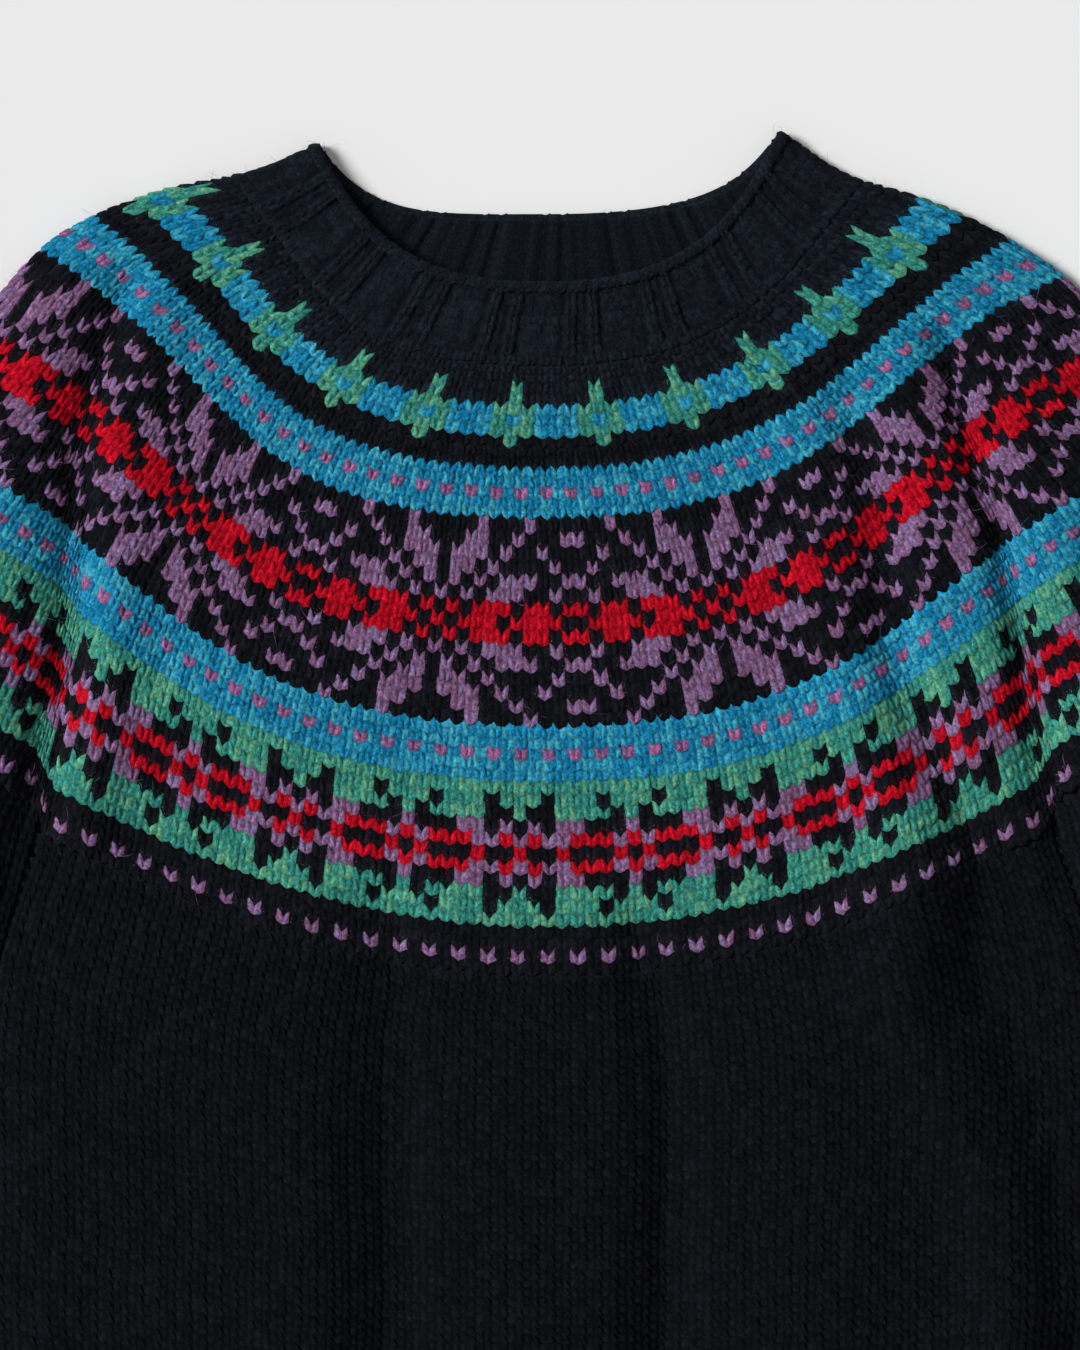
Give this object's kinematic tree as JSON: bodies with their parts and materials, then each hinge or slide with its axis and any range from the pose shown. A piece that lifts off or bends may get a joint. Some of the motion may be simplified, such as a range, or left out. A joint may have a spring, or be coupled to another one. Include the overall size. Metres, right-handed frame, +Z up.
{
  "type": "fair isle jumper",
  "caption": "Wool jumper with a patterned round yoke, ribbed neckband, hem and cuffs, laid flat on its back.",
  "frame": {"origin": "middle of the garment's plan, on the surface that it lies on", "axes": "+X towards the garment's left sleeve as seen from above with the neck away, +Y towards the neck, +Z up out of the front"},
  "size_m": [0.8602, 0.702, 0.012],
  "materials": {
    "knit": "brushed wool, patterned in blue, green, lilac, red and pink on the yoke",
    "rib": "ribbed wool"
  },
  "bodies": {
    "root": {"neckband": "rib", "yoke": "knit", "body": "knit", "hem_band": "rib", "sleeve_left": "knit", "sleeve_right": "knit", "cuff_left": "rib", "cuff_right": "rib"}
  },
  "joints": []
}
